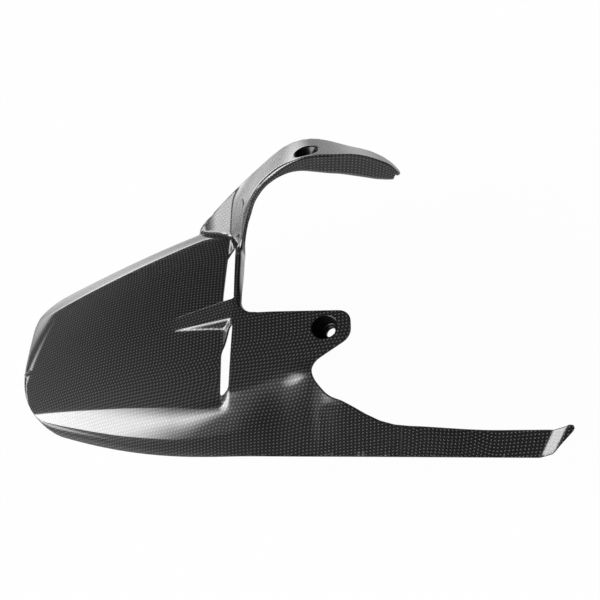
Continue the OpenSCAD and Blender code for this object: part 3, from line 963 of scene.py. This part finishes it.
def weave_heights(tree, tow):
    """Plain weave on the cloth's own UV: which tow is on top, its bow along and its lens across."""
    uv = add(tree, "ShaderNodeUVMap", uv_map="Cloth").outputs[0]
    turned = add(tree, "ShaderNodeVectorRotate", {
        "Vector": uv, "Angle": math.radians(WEAVE_ANGLE)}, rotation_type="Z_AXIS").outputs[0]
    scaled = add(tree, "ShaderNodeVectorMath", {0: turned, "Scale": 1 / tow}, operation="SCALE")
    split = add(tree, "ShaderNodeSeparateXYZ", {0: scaled.outputs[0]}).outputs
    bow = []
    for part in split[:2]:
        edge = ("MULTIPLY", ("ABSOLUTE", ("SUBTRACT", ("FRACT", part), 0.5)), 2.0)
        bow.append(formula(tree, ("SUBTRACT", 1.0, ("POWER", edge, 2.0))))
    cells = ("ADD", ("FLOOR", split[0]), ("FLOOR", split[1]))
    warp = formula(tree, ("FLOORED_MODULO", cells, 2.0))
    weft = formula(tree, ("SUBTRACT", 1.0, warp))
    along, across = (
        formula(tree, ("ADD", ("MULTIPLY", a, warp), ("MULTIPLY", b, weft)))
        for a, b in (bow, bow[::-1])
    )
    return warp, along, across


def empty_material(name):
    """A new material and its node tree, with no nodes in it."""
    material = bpy.data.materials.new(name)
    material.use_nodes = True
    material.node_tree.nodes.clear()
    return material, material.node_tree


def carbon_material(name, settings, coat):
    """Plain-weave carbon cloth in epoxy: dark tows, each painted pale on its crown as a painted
    sheen where it would catch the light, and painted in shade elsewhere. With coat it is the tool
    side under polished clear coat, and without it the satin bagged side."""
    material, tree = empty_material(name)
    warp, along, across = weave_heights(tree, settings.tow / MM)
    # Painted light: each tow's crown is painted pale as a painted sheen, fully on warp tows and a
    # tenth as much on weft tows, and the rest of each tow is painted in shade
    share = ("ADD", ("MULTIPLY", warp, 1.0 - WEFT_SHARE), WEFT_SHARE)
    painted_sheen = formula(tree, ("MULTIPLY", ("POWER", along, 3.0), ("POWER", across, 2.0), share))
    colour = add(tree, "ShaderNodeMix", {
        "Factor": painted_sheen, "A": srgb(settings.tow_shade), "B": srgb(settings.tow_light),
    }, data_type="RGBA").outputs["Result"]
    height = formula(tree, ("ADD", ("MULTIPLY", along, 0.7), ("MULTIPLY", across, 0.3)))
    bump = add(tree, "ShaderNodeBump", {
        "Height": height, "Strength": settings.relief, "Distance": RELIEF_DEEP * MM}).outputs[0]
    shader = add(tree, "ShaderNodeBsdfPrincipled", {
        "Base Color": colour, "Normal": bump, "IOR": 1.5, "Roughness": 0.5,
        "Specular IOR Level": 0.15 if coat else 0.5,
        "Coat Weight": 1.0 if coat else 0.0, "Coat Roughness": 0.04, "Coat IOR": 1.5,
    })
    add(tree, "ShaderNodeOutputMaterial", {"Surface": shader.outputs[0]})
    return material


def resin_material(settings):
    """Black gelcoat where the cups were filled and polished: deep, smooth and without weave."""
    material, tree = empty_material("polished_black_gelcoat")
    shader = add(tree, "ShaderNodeBsdfPrincipled", {
        "Base Color": srgb(settings.gelcoat), "Roughness": 0.16, "IOR": 1.5,
        "Specular IOR Level": 0.2})
    add(tree, "ShaderNodeOutputMaterial", {"Surface": shader.outputs[0]})
    return material


# The lay-up as a Geometry Nodes tree

def layup_tree():
    """Lays the laminate up on its tool side: each point goes inward by the thickness."""
    tree = bpy.data.node_groups.new("laminate_layup", "GeometryNodeTree")
    sockets = (
        ("Tool side", "INPUT", "NodeSocketGeometry"),
        ("Thickness", "INPUT", "NodeSocketFloat"),
        ("Polished cloth", "INPUT", "NodeSocketMaterial"),
        ("Bagged cloth", "INPUT", "NodeSocketMaterial"),
        ("Cup gelcoat", "INPUT", "NodeSocketMaterial"),
        ("Laminate", "OUTPUT", "NodeSocketGeometry"),
    )
    for label, way, kind in sockets:
        tree.interface.new_socket(label, in_out=way, socket_type=kind)
    given = add(tree, "NodeGroupInput").outputs

    def named(label, data_type):
        node = add(tree, "GeometryNodeInputNamedAttribute", {"Name": label}, data_type=data_type)
        return node.outputs[0]

    offset = add(tree, "ShaderNodeVectorMath", {
        0: named("inward", "FLOAT_VECTOR"), "Scale": given["Thickness"]}, operation="SCALE")
    flow = add(tree, "GeometryNodeSetPosition", {
        "Geometry": given["Tool side"], "Offset": offset.outputs[0]})
    flow = add(tree, "GeometryNodeSetShadeSmooth", {"Geometry": flow.outputs[0]})
    flow = add(tree, "GeometryNodeRealizeInstances", {"Geometry": flow.outputs[0]})
    flow = add(tree, "GeometryNodeSetMaterial", {
        "Geometry": flow.outputs[0], "Material": given["Polished cloth"]})
    for label, source in (("inside", "Bagged cloth"), ("cup", "Cup gelcoat")):
        flow = add(tree, "GeometryNodeSetMaterial", {
            "Geometry": flow.outputs[0], "Selection": named(label, "BOOLEAN"),
            "Material": given[source]})
    add(tree, "NodeGroupOutput", {"Laminate": flow.outputs[0]})
    return tree


def grow(obj, tree, values):
    """Gives the object its mesh after the tree, as a plain mesh with no modifier left."""
    modifier = obj.modifiers.new("layup", "NODES")
    modifier.node_group = tree
    names = {s.name: s.identifier for s in tree.interface.items_tree if s.in_out == "INPUT"}
    for label, value in values.items():
        modifier[names[label]] = value
    bpy.context.view_layer.update()
    graph = bpy.context.evaluated_depsgraph_get()
    mesh = bpy.data.meshes.new_from_object(
        obj.evaluated_get(graph), preserve_all_data_layers=True, depsgraph=graph)
    obj.modifiers.remove(modifier)
    obj.data = mesh


# Settings

def hex_property(label, text, value):
    return bpy.props.StringProperty(name=label, description=text, default=value, maxlen=7)


class HuggerLaminate(bpy.types.PropertyGroup):
    """Sizes of the laminate."""

    thickness: bpy.props.FloatProperty(
        name="Thickness", description="Thickness of the laminate",
        default=0.0022, min=0.0015, max=0.003, unit="LENGTH", precision=4)


class HuggerFinish(bpy.types.PropertyGroup):
    """Sizes and colours of the finish."""

    # 3K tows are about 2 mm wide, and 2.2 mm is the pitch that the photograph shows
    tow: bpy.props.FloatProperty(
        name="Tow width", description="Width of one tow of the cloth",
        default=0.0022, min=0.001, max=0.004, unit="LENGTH", precision=4)
    relief: bpy.props.FloatProperty(
        name="Relief", description="Strength of the weave's relief below the coat",
        default=0.5, min=0.0, max=1.0, subtype="FACTOR")
    # The two tow colours are painted shade and painted sheen of one black cloth, not two colours of
    # its fibres
    tow_shade: hex_property("Tow in shade", "Colour of a tow where it dives under", "#080809")
    tow_light: hex_property("Tow in light", "Colour of a tow on top of its crossing", "#545452")
    gelcoat: hex_property("Gelcoat", "Colour of the bolt cups", "#0b0b0c")


class HuggerStage(bpy.types.PropertyGroup):
    """The studio."""

    paper: hex_property("Paper", "Colour of the floor", "#f4f4f4")
    floor_drop: bpy.props.FloatProperty(
        name="Floor drop", description="Gap between the lowest point and the floor",
        default=0.03, min=0.0, unit="LENGTH")
    softbox: bpy.props.FloatProperty(
        name="Softbox", description="Strength of the softbox, 1 as set up", default=1.0, min=0.0)


# Operators

class HUGGER_OT_shell(bpy.types.Operator):
    """Makes the woven shell and puts it in the solid's place"""

    bl_idname = "hugger.shell"
    bl_label = "Make Shell"

    def execute(self, context):
        scene = context.scene
        thickness = scene.hugger_laminate.thickness
        finish = scene.hugger_finish
        mesh = shell_mesh("hugger_laminate", shell_data(thickness / MM))
        obj = bpy.data.objects.new("hugger_laminate", mesh)
        scene.collection.objects.link(obj)
        grow(obj, layup_tree(), {
            "Thickness": thickness,
            "Polished cloth": carbon_material("clear_coated_carbon_cloth", finish, True),
            "Bagged cloth": carbon_material("bagged_carbon_cloth", finish, False),
            "Cup gelcoat": resin_material(finish),
        })
        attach(obj, "root")
        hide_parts("hugger_shell")
        return {"FINISHED"}


# The studio as the clear coat mirrors it, by direction. Around is the angle from the rear (-X)
# towards the far side (+Y), and up is the angle above the floor, both in degrees. Each pair is
# where a light's edge starts and where it has faded in.
SOFTBOX = 15.0
SOFTBOX_NEAR = (-58, -34)
SOFTBOX_FAR = (8, 4)
SOFTBOX_UP = (52, 16)
WALL_UP = (14, 4)
WALL_SIDE = (62, 84)
ROOM_DARK = 0.05
ROOM_FRONT = 0.55
ROOM_FRONT_NEAR = (-85, -60)
ROOM_FRONT_FAR = (-15, -40)
# The paper as the clear coat mirrors it is a painted glow that only reflections see: white near the
# part, dark far from it and towards the rear, a painted shadow where the part would shade it, and
# painted pools of light beside the softbox. Places on the floor are in metres.
PAPER_MIDDLE = (0.15, 0.95, 0.0)
PAPER_REACH = (1.6, 1.3)
PAPER_FAR_GLOW = 0.12
PAPER_REAR = (-0.66, -0.48)
PAPER_SHADED = (0.03, -0.08, 0.0)
PAPER_SHADE = (0.07, 0.26)
SHADE = 0.12
# Painted pools of light in the paper's glow, beside the softbox
HOT_REAR = 7.0
HOT_REAR_X = (-0.8, -1.15)
HOT_REAR_Y = ((-0.75, -0.4), (0.65, 0.45))
HOT_FAR = 4.0
HOT_FAR_X = (-0.2, -0.5)
HOT_FAR_Y = (0.1, 0.45)
PAPER_WHITE = 0.97
FLOOR_HALF = 6.0
# The photograph's camera: its angle above the horizon, its distance and its lens
CAMERA_UP = 54
CAMERA_AWAY = 0.756
CAMERA_LENS = 54.6
CAMERA_SENSOR = 36.0
CAMERA_TARGET = np.array([-20.3, 27.0, 0.0])
WHITE = (1, 1, 1, 1)


class HUGGER_OT_stage(bpy.types.Operator):
    """Makes the floor, the studio's light and the camera"""

    bl_idname = "hugger.stage"
    bl_label = "Make Stage"

    def execute(self, context):
        scene = context.scene
        settings = scene.hugger_stage
        scene.view_settings.view_transform = "Standard"
        level = SOLID_BOX[0][2] - settings.floor_drop
        signs = ((-1, -1), (1, -1), (1, 1), (-1, 1))
        corners = [(a * FLOOR_HALF, b * FLOOR_HALF, level) for a, b in signs]
        mesh = bpy.data.meshes.new("floor")
        mesh.from_pydata(corners, [], [(0, 1, 2, 3)])
        floor = bpy.data.objects.new("floor", mesh)
        scene.collection.objects.link(floor)
        mesh.materials.append(self.paper(settings.paper))
        self.world(scene, settings.softbox)
        self.camera(scene)
        return {"FINISHED"}

    def mirrored(self, tree):
        """The painted glow of each place of the paper as the clear coat sees it, with its painted
        shadow and painted pools of light.
        """
        place = add(tree, "ShaderNodeTexCoord").outputs["Object"]
        x, y, _ = add(tree, "ShaderNodeSeparateXYZ", {0: place}).outputs

        def away(middle):
            node = add(tree, "ShaderNodeVectorMath", {0: place, 1: middle}, operation="DISTANCE")
            return node.outputs["Value"]

        # Painted reflection: the glow fades far from the part and towards the rear, a painted
        # shadow lies under the part, and two painted pools of light lie beside the softbox
        ends = formula(tree, ("SMOOTH", x, *PAPER_REAR))
        sheet = (
            "MULTIPLY", ("SMOOTH", away(PAPER_MIDDLE), *PAPER_REACH, PAPER_FAR_GLOW, 1.0),
            ("SMOOTH", away(PAPER_SHADED), *PAPER_SHADE, SHADE, 1.0), ends)
        rear = ("MULTIPLY", *(("SMOOTH", y, *run) for run in HOT_REAR_Y),
                ("SMOOTH", x, *HOT_REAR_X), HOT_REAR)
        far = ("MULTIPLY", ("SMOOTH", x, *HOT_FAR_X), ("SMOOTH", y, *HOT_FAR_Y), ends, HOT_FAR)
        return formula(tree, ("ADD", sheet, ("ADD", rear, far)))

    def paper(self, colour):
        """Studio paper: the camera sees it white, and it keeps a soft shadow. Reflections see a
        painted glow instead, with a painted shadow and painted pools of light.
        """
        material, tree = empty_material("white_studio_paper")
        rays = add(tree, "ShaderNodeLightPath").outputs
        matt = add(tree, "ShaderNodeBsdfDiffuse", {"Color": srgb(colour)}).outputs[0]
        white, glow = (
            add(tree, "ShaderNodeEmission", {"Color": WHITE, "Strength": strength}).outputs[0]
            for strength in (1.0, self.mirrored(tree))
        )
        seen = formula(tree, ("MULTIPLY", rays["Is Camera Ray"], PAPER_WHITE))
        both = add(tree, "ShaderNodeMixShader", {0: seen, 1: matt, 2: white}).outputs[0]
        # Reflections see the painted glow, not the paper's own shading
        bent = formula(tree, ("MAXIMUM", rays["Is Glossy Ray"], rays["Is Transmission Ray"]))
        every = add(tree, "ShaderNodeMixShader", {0: bent, 1: both, 2: glow}).outputs[0]
        add(tree, "ShaderNodeOutputMaterial", {"Surface": every})
        return material

    def world(self, scene, power):
        """A large softbox behind the rear end, a wall at the far side and a dim front, in a dark
        room. The camera sees plain white."""
        world = bpy.data.worlds.new("studio")
        scene.world = world
        world.use_nodes = True
        tree = world.node_tree
        tree.nodes.clear()
        ray = add(tree, "ShaderNodeTexCoord").outputs["Generated"]
        x, y, z = add(tree, "ShaderNodeSeparateXYZ", {0: ray}).outputs
        degrees = 180 / math.pi
        around = formula(tree, ("MULTIPLY", ("ARCTAN2", y, ("MULTIPLY", x, -1.0)), degrees))
        up = formula(tree, ("MULTIPLY", ("ARCSINE", z), degrees))
        softbox = (
            "MULTIPLY", ("SMOOTH", up, *SOFTBOX_UP), ("SMOOTH", around, *SOFTBOX_FAR),
            ("SMOOTH", around, *SOFTBOX_NEAR, 0.0, SOFTBOX * power))
        wall = ("MULTIPLY", ("SMOOTH", up, *WALL_UP), ("SMOOTH", around, *WALL_SIDE))
        front = ("MULTIPLY", ("SMOOTH", around, *ROOM_FRONT_FAR),
                 ("SMOOTH", around, *ROOM_FRONT_NEAR, 0.0, ROOM_FRONT))
        light = formula(tree, ("ADD", ("ADD", softbox, front), ("ADD", wall, ROOM_DARK)))
        room, white = (
            add(tree, "ShaderNodeBackground", {"Color": WHITE, "Strength": strength}).outputs[0]
            for strength in (light, 1.0)
        )
        camera = add(tree, "ShaderNodeLightPath").outputs["Is Camera Ray"]
        both = add(tree, "ShaderNodeMixShader", {0: camera, 1: room, 2: white}).outputs[0]
        add(tree, "ShaderNodeOutputWorld", {"Surface": both})

    def camera(self, scene):
        """The photograph's view, from the chain side."""
        up = math.radians(CAMERA_UP)
        target = (CAMERA_TARGET - EAR_HOLE) * MM
        data = bpy.data.cameras.new("camera")
        data.lens, data.sensor_width = CAMERA_LENS, CAMERA_SENSOR
        data.sensor_fit = "HORIZONTAL"
        data.clip_start = 0.01
        obj = bpy.data.objects.new("camera", data)
        obj.location = target + CAMERA_AWAY * np.array([0, -math.cos(up), math.sin(up)])
        obj.rotation_euler = (math.pi / 2 - up, 0, 0)
        scene.collection.objects.link(obj)
        scene.camera = obj


class HUGGER_PT_panel(bpy.types.Panel):
    """Lists the settings and the steps"""

    bl_label = "Rear Hugger Mudguard"
    bl_idname = "HUGGER_PT_panel"
    bl_space_type = "VIEW_3D"
    bl_region_type = "UI"
    bl_category = "Hugger"

    def draw(self, context):
        for group in GROUPS:
            box = self.layout.box()
            settings = getattr(context.scene, group)
            for key in settings.bl_rna.properties.keys():
                if key not in ("rna_type", "name"):
                    box.prop(settings, key)
        for step in STEPS:
            self.layout.operator(step.bl_idname)


STEPS = (HUGGER_OT_shell, HUGGER_OT_stage)
GROUPS = {
    "hugger_laminate": HuggerLaminate,
    "hugger_finish": HuggerFinish,
    "hugger_stage": HuggerStage,
}
CLASSES = (*GROUPS.values(), *STEPS, HUGGER_PT_panel)


def register():
    for cls in CLASSES:
        bpy.utils.register_class(cls)
    for key, cls in GROUPS.items():
        setattr(bpy.types.Scene, key, bpy.props.PointerProperty(type=cls))


def unregister():
    for key in GROUPS:
        delattr(bpy.types.Scene, key)
    for cls in reversed(CLASSES):
        bpy.utils.unregister_class(cls)


def main():
    register()
    bpy.ops.hugger.shell()
    bpy.ops.hugger.stage()


if __name__ == "__main__":
    main()
